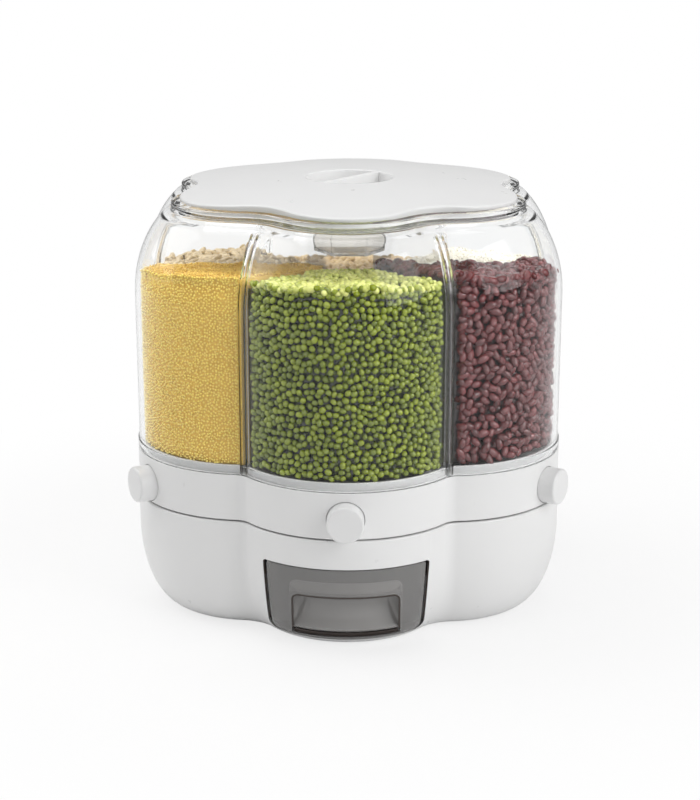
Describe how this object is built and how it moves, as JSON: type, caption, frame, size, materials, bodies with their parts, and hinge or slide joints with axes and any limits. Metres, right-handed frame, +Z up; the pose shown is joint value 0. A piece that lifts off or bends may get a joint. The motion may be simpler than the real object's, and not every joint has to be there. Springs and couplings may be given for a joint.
{
  "type": "rotating grain dispenser",
  "caption": "Lobed countertop grain dispenser: a clear divided barrel turns on a white base, and a pressed button drops grain into a smoky pull-out drawer.",
  "frame": {"origin": "on the turning axis, at the height the feet stand on", "axes": "+Z up along the turning axis, -Y towards the drawer, +X to the right seen from the drawer side"},
  "size_m": [0.3006, 0.3344, 0.2912],
  "materials": {
    "white_plastic": "satin",
    "clear_plastic": "clear gloss",
    "smoke_plastic": "smoky clear gloss",
    "frosted_plastic": "frosted",
    "soft_seal": "soft matt",
    "foot_rubber": "soft matt",
    "steel": "satin"
  },
  "bodies": {
    "base": {"base_shell": "white_plastic", "base_bottom": "white_plastic", "feet": "foot_rubber", "spindle": "steel", "spindle_cap": "steel", "chute": "white_plastic", "guide_left": "white_plastic", "guide_right": "white_plastic"},
    "drawer": {"drawer_front": "smoke_plastic", "drawer_tray": "smoke_plastic"},
    "roller_ring": {"roller_cage": "white_plastic", "rollers": "steel"},
    "rotor": {"turntable": "white_plastic", "button_ring": "white_plastic", "hopper_floor": "white_plastic", "barrel": "clear_plastic", "divider_core": "clear_plastic", "funnel_1": "white_plastic", "funnel_2": "white_plastic", "funnel_3": "white_plastic", "funnel_4": "white_plastic", "funnel_5": "white_plastic", "funnel_6": "white_plastic"},
    "lid": {"lid_plate": "white_plastic", "lid_gasket": "soft_seal", "desiccant_box": "frosted_plastic", "desiccant_cover": "frosted_plastic"},
    "button_1": {"button_1": "white_plastic", "gate_1": "white_plastic", "spring_1": "steel"},
    "button_2": {"button_2": "white_plastic", "gate_2": "white_plastic", "spring_2": "steel"},
    "button_3": {"button_3": "white_plastic", "gate_3": "white_plastic", "spring_3": "steel"},
    "button_4": {"button_4": "white_plastic", "gate_4": "white_plastic", "spring_4": "steel"},
    "button_5": {"button_5": "white_plastic", "gate_5": "white_plastic", "spring_5": "steel"},
    "button_6": {"button_6": "white_plastic", "gate_6": "white_plastic", "spring_6": "steel"}
  },
  "joints": [
    {"name": "rotor_spin", "type": "hinge", "parent": "base", "child": "rotor", "pos_m": [0, 0, 0.08], "axis": [0, 0, 1], "continuous": true},
    {"name": "roller_ring_spin", "type": "hinge", "parent": "base", "child": "roller_ring", "pos_m": [0, 0, 0.077], "axis": [0, 0, 1], "continuous": true},
    {"name": "drawer_slide", "type": "slide", "parent": "base", "child": "drawer", "axis": [0, -1, 0], "range_m": [0, 0.095]},
    {"name": "lid_lift", "type": "slide", "parent": "rotor", "child": "lid", "axis": [0, 0, 1], "range_m": [0, 0.06]},
    {"name": "button_1_press", "type": "slide", "parent": "rotor", "child": "button_1", "axis": [0, 1, 0], "range_m": [0, 0.01], "stiffness_N_per_m": 400, "springref_m": -0.005, "deforming": ["spring_1"]},
    {"name": "button_2_press", "type": "slide", "parent": "rotor", "child": "button_2", "axis": [-0.866, 0.5, 0], "range_m": [0, 0.01], "stiffness_N_per_m": 400, "springref_m": -0.005, "deforming": ["spring_2"]},
    {"name": "button_3_press", "type": "slide", "parent": "rotor", "child": "button_3", "axis": [-0.866, -0.5, 0], "range_m": [0, 0.01], "stiffness_N_per_m": 400, "springref_m": -0.005, "deforming": ["spring_3"]},
    {"name": "button_4_press", "type": "slide", "parent": "rotor", "child": "button_4", "axis": [0, -1, 0], "range_m": [0, 0.01], "stiffness_N_per_m": 400, "springref_m": -0.005, "deforming": ["spring_4"]},
    {"name": "button_5_press", "type": "slide", "parent": "rotor", "child": "button_5", "axis": [0.866, -0.5, 0], "range_m": [0, 0.01], "stiffness_N_per_m": 400, "springref_m": -0.005, "deforming": ["spring_5"]},
    {"name": "button_6_press", "type": "slide", "parent": "rotor", "child": "button_6", "axis": [0.866, 0.5, 0], "range_m": [0, 0.01], "stiffness_N_per_m": 400, "springref_m": -0.005, "deforming": ["spring_6"]}
  ],
  "couplings": [
    {"joint": "roller_ring_spin", "follows": "rotor_spin", "ratio": 0.5}
  ]
}
